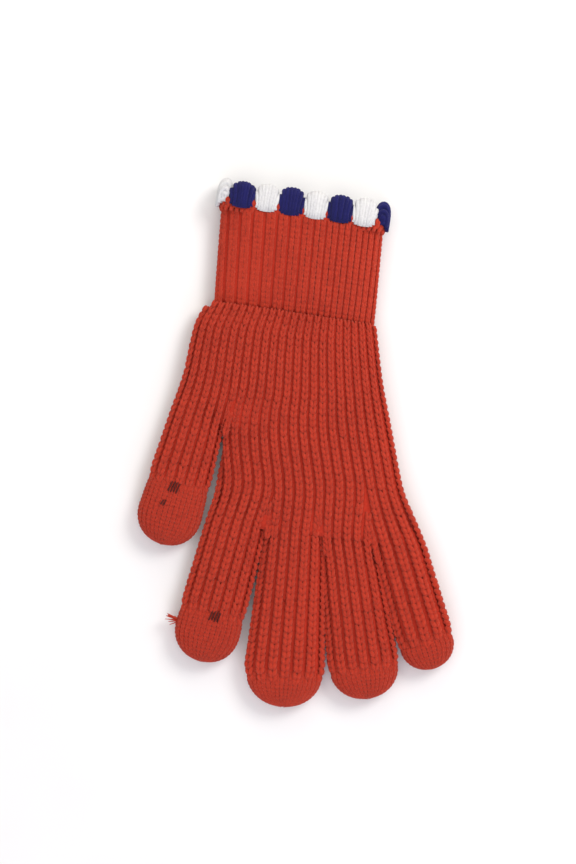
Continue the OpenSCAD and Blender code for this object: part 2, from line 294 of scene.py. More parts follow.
for name, f in fingers.items():
    f["at"] = hingeAt(name + "_base_bend")[:2]
    f["knee"] = f["length"] * tube["knuckle"] / math.cos(math.radians(f["lean"]))
    f["kneeAt"] = hingeAt(name + "_knuckle_bend")[:2]


def fingerSurface(f, s, share, side, inset):
    # the oval on each line across the finger, with its widest line kept at one height
    left, right, height, shrink = across(f, s)
    inset = np.minimum(inset, tube["deepest"] * height)
    points = onLine(left, right, height, share, side, inset)
    points[..., 2] += (oval["belly"] * (tube["height"] - height))[:, None]
    return points


def ribSurface(f, s, rib, side, inset):
    # a rib's place at s: it follows the hand's layout, then the palm's, then the finger's own;
    # inset is one value or one for each s
    inset = np.broadcast_to(inset, len(s))
    y = f["at"][1] - home[1] - s * math.cos(math.radians(f["lean"]))
    count = f["left"] + f["ribs"] + f["right"]
    own = np.broadcast_to((rib + f["left"] + 0.5) / count, (len(s), len(rib)))
    points = fingerSurface(f, s, own, side, inset)
    left, right, height = between(handLines, np.maximum(y, hand["handEnd"]))
    share = np.broadcast_to((f["firstRib"] + rib + 0.5) / hand["ribs"], (len(s), len(rib)))
    onHand = onLine(left, right, height, share, side, inset)
    if f["firstRib"]:
        extra = smooth((hand["addedFrom"] - y) / hand["addedOver"])[:, None]
        first = f["firstRib"] - fingers["thumb"]["ribs"]
        share = (first + rib[None] + 0.5 + extra) / (hand["palmRibs"] + extra)
        left, right, height = between(palmLines, np.clip(y, hand["palmBottom"], hand["palmTop"]))
        onPalm = onLine(left, right, height, share, side, inset)
        w = smooth((hand["palmFrom"] - y) / (hand["palmFrom"] - hand["palmTo"]))[:, None, None]
        onHand = onHand + (onPalm - onHand) * w
    w = smooth((f["crease"] + hand["rootReach"] - y) / hand["rootReach"])[:, None]
    sink = smooth((f["crease"] + hand["creaseReach"] - y) / hand["creaseReach"])[:, None]
    w = np.stack([w, w, sink], 2)
    return onHand + (points - onHand) * w, y


knit = {
    "rings": 6, "sides": 6,       # points along one leg of a stitch, and round it
    "from": -0.62, "to": 0.66,    # how far a leg runs, in stitches
    "spread": 0.40,               # how far the legs part, in ribs' half-widths
    "thick": 0.40,                # radius of the yarn, in ribs' half-widths
    "gap": 0.1, "curve": 0.8,     # how far apart the legs start, and how fast they part
    "lift": 1.5, "dip": 0.12, "sweep": 0.82,   # how far a leg rises, and the part of the wave it follows
    "slender": 0.62,              # thickness at a leg's ends
    "sway": 0.06, "jitter": 0.05,              # unevenness across and along
}


def stitchPaths(centre, along, side, out, halfWidth, course, spread=None, thick=None, relief=1):
    # two legs to a stitch: they leave one point side by side, part like a V and dip under the next stitch
    n = len(centre)
    t = np.linspace(0, 1, knit["rings"])
    spread = knit["spread"] if spread is None else spread
    thick = (knit["thick"] if thick is None else thick) * halfWidth
    run = knit["from"] + (knit["to"] - knit["from"]) * t
    part = knit["gap"] + spread * t ** knit["curve"]
    rise = relief * (knit["lift"] * np.sin(math.pi * (knit["dip"] + knit["sweep"] * t)) - knit["lift"] / 2)
    paths = []
    for sign in (-1, 1):
        sway = halfWidth * sign * (1 + dice.normal(0, knit["sway"], n))
        paths.append(centre[:, None] + along[:, None] * np.multiply.outer(course, run)[..., None]
                     + side[:, None] * np.multiply.outer(sway, part)[..., None]
                     + out[:, None] * np.multiply.outer(thick, rise)[..., None])
    paths = np.concatenate(paths)
    swell = knit["slender"] + (1 - knit["slender"]) * np.sin(math.pi * t)
    radius = np.tile(thick[:, None] * swell, (2, 1))
    ref = np.tile(out[:, None], (2, knit["rings"], 1))
    return paths, radius, ref


def alongRibs(path, nearby, course, keep):
    # even stitches along each rib: centre, direction towards the cuff, sideways direction and half-width
    found = []
    for i in range(path.shape[1]):
        ok = keep[:, i]
        p, q = path[ok, i], nearby[ok, i]
        if len(p) < 4:
            continue
        run = np.concatenate([[0], np.cumsum(np.linalg.norm(np.diff(p, axis=0), axis=1))])
        at = np.arange(course * 0.5, run[-1] - course * 0.3, course)
        at = at + dice.normal(0, knit["jitter"] * course, len(at))
        pick = lambda v: np.stack([np.interp(at, run, v[:, c]) for c in range(3)], 1)
        centre = pick(p)
        along = unit(pick(np.gradient(p, axis=0)) * -1)
        sideways = pick(q) - centre
        found.append((centre, along, sideways))
    centre, along, sideways = [np.concatenate(v) for v in zip(*found)]
    halfWidth = np.linalg.norm(sideways, axis=1)
    sideways = unit(sideways - along * np.sum(sideways * along, 1, keepdims=True))
    return centre, along, sideways, halfWidth


def beyond(points, at, turn):
    # how far points lie past a hinge line, on the finger's side
    turn = math.radians(turn)
    return (points[:, 0] - at[0]) * math.sin(turn) - (points[:, 1] - at[1]) * math.cos(turn)


yarnSets = {}   # paths, radii and reference directions gathered for each piece


def gather(name, parts, pick=None):
    # adds stitches to a piece's set; pick says which, and holds for both legs
    paths, radius, ref = parts
    if pick is not None:
        pick = np.tile(pick, 2)
        paths, radius, ref = paths[pick], radius[pick], ref[pick]
    if len(paths):
        yarnSets.setdefault(name, []).append((paths, radius, ref))


def putGathered(name, material, light=1):
    # one piece from all the stitches in its set; light scales their tones, and below 1 it darkens them as
    # painted shade
    paths, radius, ref = [np.concatenate(v) for v in zip(*yarnSets[name])]
    return putTubes(name, paths, radius, ref, material, knit["sides"], light * dice.random(len(paths)))


def knitRibs():
    # every rib runs from the wrist into its finger, and its stitches are shared out at the hinge lines
    wrist = hingeAt("wrist_fold")
    for name, f in fingers.items():
        stop = f["length"] - f["plain"] + hand["overTip"]
        begin = (f["at"][1] - wrist[1] - hand["overWrist"]) / math.cos(math.radians(f["lean"]))
        s = np.arange(begin, stop, hand["step"])
        rib = np.arange(-f["left"], f["ribs"] + f["right"])
        # the ribs sink into the plain knitting at the tip
        sink = smooth((s - stop + hand["sinkLength"]) / hand["sinkLength"])
        inset = hand["inset"] + hand["sinkDepth"] * sink
        for side in (1, -1):
            path, y = ribSurface(f, s, rib, side, inset)
            nearby, _ = ribSurface(f, s, rib + 0.5, side, inset)
            x, ahead = path[..., 0] - wrist[0], path[..., 1] - wrist[1]
            shoulder = hand["shoulderRise"] + (x + hand["shoulderLeft"]) * hand["shoulderSlope"]
            keep = (ahead < 0.2 - x * math.tan(math.radians(cuff["slope"]))) & (ahead < shoulder)
            extra = (rib < 0) | (rib >= f["ribs"])
            keep[:, extra] &= (y < f["crease"] + hand["extraReach"])[:, None]
            if name == "index":      # the rib at the palm's own edge comes in round the fold
                keep[:, 0] = y < hand["handEnd"]
            centre, along, sideways, half = alongRibs(path, nearby, hand["course"], keep)
            out = unit(np.cross(sideways, along))
            half = np.clip(half, hand["narrowest"], hand["widest"])
            course = np.full(len(half), hand["course"])
            parts = stitchPaths(centre, along, sideways, out, half, course)
            past = beyond(centre, f["at"], f["hingeTurn"])
            pastKnee = beyond(centre, f["kneeAt"], f["kneeTurn"])
            face = "palm_side_ribs" if side > 0 else "back_ribs"
            gather(face, parts, past < 0)
            gather(name + "_lower_ribs", parts, (past >= 0) & (pastKnee < 0))
            gather(name + "_upper_ribs", parts, (past >= 0) & (pastKnee >= 0))


tips = {
    "course": 1.7, "reach": 1.15, "spread": 0.52, "thick": 0.7, "relief": 0.5,
    "inset": 1.15, "closest": 0.07,        # narrowest half-width that a column still runs at
    "under": 4.5, "sinkDepth": 1.2, "sinkLength": 9,   # how the plain knitting starts under the ribs
    "light": 0.15,                         # painted shade: the plain knitting lies a little darker, its tones scaled down so the finger ends look shaded
    "closing": ((0.75, 0.3), (0, -0.35), (-0.75, 0.25)),   # height and slant of each closing stitch
    "closingReach": 1.4, "closingRadius": 0.5, "closingBow": 0.3, "closingSink": 0.75,
}


def knitTips():
    # columns of fine stitches that crowd together as the width closes to nothing
    for name, f in fingers.items():
        start = f["length"] - f["plain"] - tips["under"]
        s = start + np.sin(np.linspace(0, 0.5 * math.pi, 110)) * (f["length"] - 0.1 - start)
        sink = smooth((start + tips["sinkLength"] - s) / tips["sinkLength"])
        inset = tips["inset"] + tips["sinkDepth"] * sink
        count = f["columns"]
        for side in (1, -1):
            share = np.broadcast_to((np.arange(count) + 0.5) / count, (len(s), count))
            path = fingerSurface(f, s, share, side, inset)
            nearby = fingerSurface(f, s, share + 0.5 / count, side, inset)
            half = np.linalg.norm(nearby - path, axis=2)
            wide = half > tips["closest"]
            centre, along, sideways, half = alongRibs(path, nearby, tips["course"], wide)
            out = unit(np.cross(sideways, along))
            course = np.full(len(half), tips["course"] * tips["reach"])
            parts = stitchPaths(centre, along, sideways, out, half, course,
                                tips["spread"], tips["thick"], tips["relief"])
            gather(name + "_plain_tip", parts)
        # short stitches draw the last loops together at the very end
        ends = [fingerSurface(f, s[-1:], np.array([[0.5]]), side, inset[-1:])[0, 0] for side in (1, -1)]
        turn = math.radians(f["lean"])
        away = np.array([math.sin(turn), -math.cos(turn), 0])
        aside = np.array([math.cos(turn), math.sin(turn), 0])
        bow = np.linspace(-1, 1, knit["rings"])[:, None]
        arc = (ends[0] + ends[1]) / 2 + away * (tips["closingBow"] * (1 - bow ** 2) - tips["closingSink"])
        arc = arc + aside * (tips["closingReach"] * bow)
        paths = np.array([arc + upwards * (rise + tilt * bow) for rise, tilt in tips["closing"]])
        radius = np.full(paths.shape[:2], tips["closingRadius"])
        gather(name + "_plain_tip", (paths, radius, np.broadcast_to(upwards, paths.shape)))


cuff = {
    "width": 73, "length": 41.2, "mouth": 17.2, "lean": 5, "slope": 8.5,
    "heightAt": (-3, 2, 9, 41.2), "height": (10.6, 11.8, 13.6, 17.2),
    "columns": 28, "course": 2.3, "reach": 1.2, "spread": 0.4, "thick": 0.6, "relief": 0.5, "inset": 1.3,
    "groove": 0.17, "slim": 0.16,          # how far paired columns close up, and how much thinner they get
    "grooveAt": (0, 0.3, 0.8), "grooveDepth": (1, 0.85, 0.12),
    "overWrist": 2.4, "step": 0.8,
}


def cuffLines(s):
    # lines across the cuff, s from the wrist to the mouth
    lean, slope = math.radians(cuff["lean"]), math.radians(cuff["slope"])
    at = hingeAt("wrist_fold")[:2] + np.outer(s, [math.sin(lean), math.cos(lean)])
    half = np.array([math.cos(slope), -math.sin(slope)]) * cuff["width"] / 2
    height = np.interp(s, cuff["heightAt"], cuff["height"])
    return at - half, at + half, height


def knitCuff():
    # columns of small stitches; pairs of columns close up into ribs towards the thumb side
    s = np.arange(cuff["length"], -cuff["overWrist"], -cuff["step"])
    left, right, height = cuffLines(s)
    count = cuff["columns"]
    column = np.arange(count)
    deep = np.interp(column / count, cuff["grooveAt"], cuff["grooveDepth"])
    shift = cuff["groove"] * deep * np.where(column % 2, -1, 1)
    reach = (1 - cuff["slim"] * deep) * 0.5 / count
    inset = np.full(len(s), cuff["inset"])
    for side in (1, -1):
        share = np.broadcast_to((column + 0.5 + shift) / count, (len(s), count))
        path = onLine(left, right, height, share, side, inset)
        nearby = onLine(left, right, height, share + reach, side, inset)
        everywhere = np.ones(path.shape[:2], bool)
        centre, along, sideways, half = alongRibs(path, nearby, cuff["course"], everywhere)
        out = unit(np.cross(sideways, along))
        course = np.full(len(half), cuff["course"] * cuff["reach"])
        parts = stitchPaths(centre, along, sideways, out, half, course,
                            cuff["spread"], cuff["thick"], cuff["relief"])
        gather("cuff_ribs", parts)


# The edging: a red band with fourteen puffy shells worked on it.
edging = {
    "count": 14, "band": 3,                # shells round the mouth; how far beyond the cuff they start
    "spread": 4.2, "lobe": 7.4,            # how much wider and thinner than the mouth their line runs
    "strands": 8, "yarn": 1.1, "blueWidth": 12.6, "whiteWidth": 11.8,
    "shellHeight": 9.6, "shellDepth": 6.6, "foldDepth": 1.12,   # deeper where a shell wraps a fold
    "uneven": 0.03, "drift": 0.12,         # of a shell's size, and of each strand's place
    "underWide": 0.97, "underHigh": 0.52, "underDeep": 0.3, "underThick": 1.15,   # the lower layer
    "wad": 2.2, "wadSteps": (-2.6, 0, 2.6), "wadRise": 0.42,
    "rounds": ((0, -1.2, 3, 0.3), (0.5, 0.4, 3, 0.5), (0.2, 1.8, 2.6, 0.2)),  # turn, start, reach, lift
    "slantStitches": 70, "bandYarn": 0.95,
    "risers": ((-0.7, 2.6), (0.6, 2.0)), "riserYarn": 0.7,      # lean and reach, between the shells
}


def mouthPoint(share):
    # a place on the mouth's line, by length round it: flat over the palm side, a half circle at each
    # fold, flat underneath
    r = (cuff["mouth"] - edging["lobe"]) / 2
    flat = cuff["width"] + edging["spread"] - cuff["mouth"]
    quarter = r * math.pi / 2
    whole = 2 * flat + 4 * quarter
    s = (np.asarray(share, float) * whole) % whole
    rightFold, underside = quarter + flat, 3 * quarter + flat
    leftFold = underside + flat
    stretch = [s < quarter, s < rightFold, s < underside, s < leftFold]
    a = np.select(stretch, [math.pi - s / r, math.pi / 2, math.pi / 2 - (s - quarter - flat) / r,
                            -math.pi / 2], -math.pi / 2 - (s - 3 * quarter - 2 * flat) / r)
    x = np.select(stretch, [-flat / 2, -flat / 2 + s - quarter, flat / 2,
                            flat / 2 - (s - 3 * quarter - flat)], -flat / 2)
    return x + r * np.cos(a), r * np.sin(a), a


def mouthFrame(share, s):
    # the point at that share of the mouth, s beyond the wrist, with its directions along, away and out
    x, z, a = mouthPoint(share)
    lean, slope = math.radians(cuff["lean"]), math.radians(cuff["slope"])
    seam = np.array([math.cos(slope), -math.sin(slope), 0])
    away = np.array([math.sin(slope), math.cos(slope), 0])
    at = np.append(hingeAt("wrist_fold")[:2], 0) + s * np.array([math.sin(lean), math.cos(lean), 0])
    point = at + np.multiply.outer(x, seam) + np.multiply.outer(z + cuff["mouth"] / 2, upwards)
    out = np.multiply.outer(np.cos(a), seam) + np.multiply.outer(np.sin(a), upwards)
    return point, np.cross(away, out), np.broadcast_to(away, point.shape), out


def putShell(i, material, width):
    # strands arch from the front over the outer edge to the back, as a flattened sine; the middle
    # ones stand tallest
    share = i / edging["count"]
    point, along, away, out = mouthFrame(share, cuff["length"] + edging["band"] + 0.3)
    n, rings, yarn = edging["strands"], 15, edging["yarn"]
    strand = np.linspace(-1, 1, n)[:, None]
    angle = np.linspace(-0.07, 1.07, rings) * math.pi
    arch = np.sin(angle)
    size = 1 + dice.normal(0, edging["uneven"])
    crown = (1 - np.abs(0.93 * strand) ** 2.6) ** 0.5
    x = strand * (width / 2 - yarn) * size * (0.84 + 0.16 * np.abs(arch))
    x = x + dice.normal(0, edging["drift"], (n, 1))
    y = (edging["shellHeight"] * size - yarn) * (0.25 + 0.75 * crown) * np.sign(arch) * np.abs(arch) ** 0.7
    fold = i % (edging["count"] // 2) == 0
    depth = edging["shellDepth"] * (edging["foldDepth"] if fold else 1)
    z = (depth / 2 - yarn * 0.8) * (0.5 + 0.5 * crown) * np.cos(angle)
    x, y, z = x[..., None] * along, y[..., None] * away, z[..., None] * out
    radius = np.broadcast_to(yarn * (0.8 + 0.3 * np.clip(arch, 0, 1)), (n, rings))
    # a lower layer of strands closes the arch from the side, and a wad of yarn fills the middle
    under = point + edging["underWide"] * x + edging["underHigh"] * y + edging["underDeep"] * z
    reach = np.linspace(-1, 1, rings)
    rise = edging["shellHeight"] * edging["wadRise"]
    start = np.stack([point + along * step + away * rise for step in edging["wadSteps"]])
    wad = start[:, None] + away * (reach[:, None] * rise)
    wadRadius = np.broadcast_to(edging["wad"] * np.sqrt(np.maximum(1 - reach ** 2, 0.02)), (3, rings))
    paths = np.concatenate([point + x + y + z, under, wad])
    radius = np.concatenate([radius, radius * edging["underThick"], wadRadius])
    ref = np.broadcast_to(along, paths.shape)
    return putTubes("shell_%d" % (i + 1), paths, radius, ref, material, 8)


def putBand(material):
    # rounds of short slanting stitches, and a pair of low ones that rise between the shells
    count = edging["slantStitches"]
    t = np.linspace(0, 1, 6)[None, :, None]
    swell = 0.7 + 0.3 * np.sin(math.pi * t[..., 0])
    parts = []
    for turn, start, reach, lift in edging["rounds"]:
        share = (np.arange(count) + turn) / count
        a, along, away, out = mouthFrame(share, cuff["length"] + start)
        b, _, _, _ = mouthFrame(share + 0.35 / count, cuff["length"] + start + reach)
        path = a[:, None] + (b - a)[:, None] * t + out[:, None] * (lift * np.sin(math.pi * t) + 0.8)
        parts.append((path, edging["bandYarn"] * swell * np.ones((count, 1)), out))
    share = (np.arange(edging["count"]) + 0.5) / edging["count"]
    a, along, away, out = mouthFrame(share, cuff["length"] + 2)
    for lean, reach in edging["risers"]:
        bow = np.sin(math.pi * t)
        path = a[:, None] + away[:, None] * (reach * t) + along[:, None] * (lean * bow)
        path = path + out[:, None] * (1.4 + 0.4 * bow)
        parts.append((path, edging["riserYarn"] * swell * np.ones((len(share), 1)), out))
    paths = np.concatenate([p[0] for p in parts])
    radius = np.concatenate([p[1] for p in parts])
    ref = np.concatenate([np.broadcast_to(p[2][:, None], p[0].shape) for p in parts])
    return putTubes("edging_stitches", paths, radius, ref, material, 7)


wool = {
    "mottle": 900, "drift": 40, "fibre": 2600,           # scales of the noises
    "toneShare": 0.3, "driftShare": 0.5, "from": 0.45,   # what makes up a stitch's shade
    "slant": 32, "stretch": (3, 6, 1), "twist": 5.0, "plyShare": 0.6,
    "bump": 0.55, "bumpDepth": 0.00035, "rough": 0.88, "specular": 0.25, "sheenRough": 0.45,
}
looks = {
    "red wool": dict(light=(0.57, 0.041, 0.017), deep=(0.40, 0.025, 0.011),
                     tint=(1, 0.35, 0.25), sheen=0.35),
    # the backing's wool is painted light: a touch lighter and redder than the ribs' wool, standing in for
    # light bounced into the grooves
    "red wool deep in the rib, painted lighter": dict(light=(0.58, 0.038, 0.016), deep=(0.44, 0.026, 0.011),
                                     tint=(1, 0.3, 0.2), sheen=0.05),
    "navy wool": dict(light=(0.012, 0.012, 0.12), deep=(0.006, 0.006, 0.055),
                      tint=(0.4, 0.4, 1), sheen=0.15),
    "white wool": dict(light=(0.86, 0.86, 0.87), deep=(0.70, 0.70, 0.73), tint=(1, 1, 1), sheen=0.1),
    "conductive thread": dict(light=(0.12, 0.018, 0.014), deep=(0.06, 0.010, 0.008),
                              tint=(0.4, 0.2, 0.2), sheen=0.05),
}


def yarnFinish(name, light, deep, tint, sheen):
    # each stitch has its own tone, fibres mottle it, and a slanting wave twists the plies:
    # shade = mottle + drift share * drift + tone share * tone; relief = fibre + ply share * wave
    material = bpy.data.materials.new(name)
    material.use_nodes = True
    nodes, links = material.node_tree.nodes, material.node_tree.links
    shader = nodes["Principled BSDF"]
    place = nodes.new("ShaderNodeTexCoord")

    def noise(scale, detail):
        # noise in the object's own coordinates
        node = nodes.new("ShaderNodeTexNoise")
        node.inputs["Scale"].default_value = scale
        node.inputs["Detail"].default_value = detail
        links.new(place.outputs["Object"], node.inputs["Vector"])
        return node.outputs["Fac"]

    def addShare(value, share, base):
        # base + share * value
        node = nodes.new("ShaderNodeMath")
        node.operation = "MULTIPLY_ADD"
        node.inputs[1].default_value = share
        links.new(value, node.inputs[0])
        links.new(base, node.inputs[2])
        return node.outputs[0]

    tone = nodes.new("ShaderNodeAttribute")
    tone.attribute_name = "tone"
    shade = addShare(tone.outputs["Fac"], wool["toneShare"], noise(wool["mottle"], 4))
    shade = addShare(noise(wool["drift"], 2), wool["driftShare"], shade)
    ramp = nodes.new("ShaderNodeValToRGB")
    ramp.color_ramp.elements[0].position = wool["from"]
    ramp.color_ramp.elements[0].color = (*deep, 1)
    ramp.color_ramp.elements[1].position = 1.0
    ramp.color_ramp.elements[1].color = (*light, 1)
    links.new(shade, ramp.inputs["Fac"])
    links.new(ramp.outputs["Color"], shader.inputs["Base Color"])
    slant = nodes.new("ShaderNodeMapping")
    slant.inputs["Rotation"].default_value = (0, 0, math.radians(wool["slant"]))
    slant.inputs["Scale"].default_value = wool["stretch"]
    links.new(place.outputs["UV"], slant.inputs["Vector"])
    plies = nodes.new("ShaderNodeTexWave")
    plies.inputs["Scale"].default_value = wool["twist"]
    plies.inputs["Distortion"].default_value = 1.5
    plies.inputs["Detail"].default_value = 2
    links.new(slant.outputs["Vector"], plies.inputs["Vector"])
    bump = nodes.new("ShaderNodeBump")
    bump.inputs["Strength"].default_value = wool["bump"]
    bump.inputs["Distance"].default_value = wool["bumpDepth"]
    relief = addShare(plies.outputs["Fac"], wool["plyShare"], noise(wool["fibre"], 3))
    links.new(relief, bump.inputs["Height"])
    links.new(bump.outputs["Normal"], shader.inputs["Normal"])
    shader.inputs["Roughness"].default_value = wool["rough"]
    shader.inputs["Specular IOR Level"].default_value = wool["specular"]
    shader.inputs["Sheen Weight"].default_value = sheen
    shader.inputs["Sheen Roughness"].default_value = wool["sheenRough"]
    shader.inputs["Sheen Tint"].default_value = (*tint, 1)
    return material


finishes = {name: yarnFinish(name, **look) for name, look in looks.items()}
redYarn, redBacking, blueYarn, whiteYarn, darkThread = finishes.values()
print("finishes made")

knitRibs()
knitTips()
knitCuff()
print("stitches worked out:", sum(len(p[0]) for v in yarnSets.values() for p in v) // 2)


def hingeSpan(name, turn, reach):
    # the two ends of the stretch of cloth past a hinge line, in metres
    at = hingeAt(name) * mm
    step = np.array([math.sin(math.radians(turn)), -math.cos(math.radians(turn)), 0]) * reach * mm
    return tuple(at), tuple(at + step)


def dress(piece):
    # hands the piece back unchanged
    return piece


for face in ("palm_side_ribs", "back_ribs"):
    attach(dress(putGathered(face, redYarn)), "hand")

for name, f in fingers.items():
    lower = dress(putGathered(name + "_lower_ribs", redYarn))
    upper = dress(putGathered(name + "_upper_ribs", redYarn))
    # the plain tips take scaled-down tones, a painted shade that darkens the finger ends
    tip = dress(putGathered(name + "_plain_tip", redYarn, tips["light"]))
    f["baseBend"] = hingeSpan(name + "_base_bend", f["hingeTurn"], tube["bend"])
    f["kneeBend"] = hingeSpan(name + "_knuckle_bend", f["kneeTurn"], tube["bend"])
    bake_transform(lower)
    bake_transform(upper)
    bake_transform(tip)
print("ribs and tips knitted")

cuffRibs = dress(putGathered("cuff_ribs", redYarn))
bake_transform(cuffRibs)

# The backing: the inner face of the cloth, seen between the ribs and through the mouth.
backing = {
    "under": 1.45, "wall": 0.9,            # depth under the outline, and thickness
    "root": 16, "rootSink": 1.8, "sinkPower": 1.8,   # a finger's root reaches into the hand, sinking
    "deepest": 0.38,                       # never deeper than this share of the height
    "overlap": 0.3,
}
# as handLines: the left ends follow the thumb's hinge line and then the palm's edge
backingLines = np.array([
    [-36.4, 63.9, 36.6, 53, 13.4], [-43, 57, 37.4, 47, 14.8], [-46, 44, 38.2, 37, 15.6],
    [-49, 30, 39.6, 26, 15.6], [-52, 19.8, 41.4, 17, 15.2], [-41, 12.9, 42.6, 10.6, 15],
    [-31.4, 6.6, 43.6, 4.8, 14.8], [-32.4, -9, 46.2, -9, 15], [-34.4, -21, 48.8, -21, 14.6],
    [-37.9, -33.5, 56.9, -45, 13.2]])


def putFlatBacking(name, left, right, height):
    # a sleeve of ovals that stand on the given lines
    under, inside = backing["under"], backing["under"] + backing["wall"]
    outer = wholeOval(left, right, height, under)
    return dress(putSleeve(name, outer, wholeOval(left, right, height, inside), redBacking))


def putHandBacking():
    # the backing's lines, filled in evenly by the height of their middles
    y = (backingLines[:, 1] + backingLines[:, 3]) / 2
    fine = np.linspace(y[0], y[-1], 46)
    value = [np.interp(fine, y[::-1], backingLines[::-1, c]) for c in range(5)]
    left, right = np.stack(value[:2], 1) + home, np.stack(value[2:4], 1) + home
    piece = putFlatBacking("hand_backing", left, right, value[4])
    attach(piece, "hand")
    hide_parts("hand", "palm")


def putCuffBacking():
    # the cuff's own lines, from inside the edging to the wrist
    piece = putFlatBacking("cuff_backing", *cuffLines(np.linspace(cuff["length"] + 2, 0, 20)))
    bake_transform(piece)
    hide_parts("cuff")


def putFingerBacking(name, f, part, s):
    # a sleeve of ovals along the finger; the root sinks by a power of its distance from the hinge
    rings = []
    for inset in (backing["under"], backing["under"] + backing["wall"]):
        left, right, height, _ = across(f, s)
        sink = np.maximum(-s / backing["root"], 0) ** backing["sinkPower"]
        deeper = np.minimum(inset + backing["rootSink"] * sink, backing["deepest"] * height)
        ring = wholeOval(left, right, height, deeper)
        ring[..., 2] += (oval["belly"] * (tube["height"] - height))[:, None]
        rings.append(ring)
    return dress(putSleeve("%s_%s_backing" % (name, part), rings[0], rings[1], redBacking, part == "upper"))


putHandBacking()
putCuffBacking()
for name, f in fingers.items():
    knee, lap = f["knee"], backing["overlap"]
    piece = putFingerBacking(name, f, "root", np.linspace(-backing["root"], lap, 14))
    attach(piece, "hand")
    piece = putFingerBacking(name, f, "lower", np.linspace(0, knee + lap, 14))
    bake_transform(piece)
    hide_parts(name + "_lower")
    towardsEnd = np.sin(np.linspace(0, 0.5 * math.pi, 40))
    piece = putFingerBacking(name, f, "upper", knee + (f["length"] - 0.6 - knee) * towardsEnd)
    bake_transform(piece)
    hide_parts(name + "_upper", name + "_tip")
print("backing in place")

band = dress(putBand(redYarn))
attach(band, "cuff")
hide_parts("edging_band")
for i in range(edging["count"]):
    white = i % 2 == 0
    shell = putShell(i, whiteYarn if white else blueYarn, edging["whiteWidth" if white else "blueWidth"])
    dress(shell)
    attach(shell, "cuff")
    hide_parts("scallop_%d" % (i + 1))
print("edging worked")


# Small sewn work: conductive thread on two pads, darned crotches and loose yarn ends.
sewn = {
    "thread": 0.32, "threadArch": 1.0, "padPower": 2.5,
    "strokes": {   # from x, y to x, y across the pad
        "thumb": ((-2.2, -2.3, -1.5, 2.2), (-1.0, -2.7, -0.2, 2.5), (0.2, -2.2, 1.0, 2.8),
                  (1.4, -2.6, 2.1, 2.1), (-3.6, -8.8, -2.9, -6.6), (-2.5, -9, -1.8, -6.3)),
        "index": ((-2.1, -2.4, -1.4, 2.3), (-0.9, -2.1, -0.2, 2.6), (0.3, -2.6, 1.0, 2.2),
                  (1.5, -2.2, 2.2, 2.5))},
    "darn": 1.9, "darnStitches": 4, "slantYarn": 0.5, "slants": ((3.4, 2.0), (3.2, -1.6)),
    "darns": {     # height and turn of the column that closes each crotch
        "thumb_crotch": (11.8, -14), "index_middle_crotch": (11, -9),
        "middle_ring_crotch": (10.6, 2), "ring_little_crotch": (10.4, 11)},
    "fan": 0.3, "curl": 0.5, "shortest": 0.6, "lowest": 0.4, "hair": 0.42, "taper": 0.7,
}


def nodeMiddle(node):
    # half way between a CAD node's lowest and highest corners
    low, high = [np.array(c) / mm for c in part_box(node)]
    return (low + high) / 2


def surfaceAt(f, point, out=0.3):
    # the height of the finger's top above a place in plan, from a superellipse
    lean = math.radians(f["lean"])
    s = (point - f["at"]) @ np.array([math.sin(lean), -math.cos(lean)])
    left, right, height, _ = across(f, np.atleast_1d(s))
    line = right - left
    width = np.linalg.norm(line, axis=1)
    off = np.sum((point - (left + right) / 2) * line / width[:, None], 1)
    off = np.minimum(np.abs(off / (width / 2)), 0.99)
    power = sewn["padPower"]
    rise = height * (1 - oval["belly"]) * (1 - off ** power) ** (1 / power)
    return height * oval["belly"] + rise - hand["inset"] + out


def putTouchThread(name):
    # slanting stitches side by side on the pad, each from hole to hole, dipping into the knitting at its ends
    node, f = name + "_touch_thread", fingers[name]
    middle = nodeMiddle(node)[:2]
    turn = math.radians(f["lean"])
    spin = np.array([[math.cos(turn), math.sin(turn)], [-math.sin(turn), math.cos(turn)]])
    t = np.linspace(0, 1, 9)[:, None]
    paths = []
    for x0, y0, x1, y1 in sewn["strokes"][name]:
        a, b = np.array([x0, y0]), np.array([x1, y1])
        plan = middle + (a + (b - a) * t) @ spin
        z = surfaceAt(f, plan) + sewn["threadArch"] * np.sin(math.pi * t[:, 0]) ** 0.5 - 0.1
        paths.append(np.concatenate([plan, z[:, None]], 1))
    paths = np.array(paths)
    piece = putTubes(name + "_touch_stitches", paths, sewn["thread"], upwards, darkThread, 8)
    dress(piece)
    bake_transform(piece)
    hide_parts(node)


def putDarn(node, z, turn):
    # a short column of stitches that closes the crotch, with two slanting ones over its end
    centre, count = nodeMiddle(node)[:2], sewn["darnStitches"]
    away = np.array([math.sin(math.radians(turn)), -math.cos(math.radians(turn)), 0])
    step = (np.arange(count) - count + 1.6) * hand["course"]
    place = np.append(centre, z) + step[:, None] * away
    sideways = np.broadcast_to([-away[1], away[0], 0], place.shape)
    shape = place, np.broadcast_to(-away, place.shape), sideways, np.broadcast_to(upwards, place.shape)
    paths, radius, ref = stitchPaths(*shape, np.full(count, sewn["darn"]), np.full(count, hand["course"]))
    t = np.linspace(0, 1, knit["rings"])[:, None]
    last = np.append(centre, z - 0.6)
    slants = [last + (t - 0.5) * np.array([dx, dy, 0]) + upwards * np.sin(math.pi * t)
              for dx, dy in sewn["slants"]]
    paths = np.concatenate([paths, slants])
    radius = np.concatenate([radius, np.full((2, knit["rings"]), sewn["slantYarn"])])
    ref = np.concatenate([ref, np.broadcast_to(upwards, (2, knit["rings"], 3))])
    piece = putTubes(node + "_darn", paths, radius, ref, redYarn, 7)
    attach(dress(piece), "hand")
    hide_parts(node)


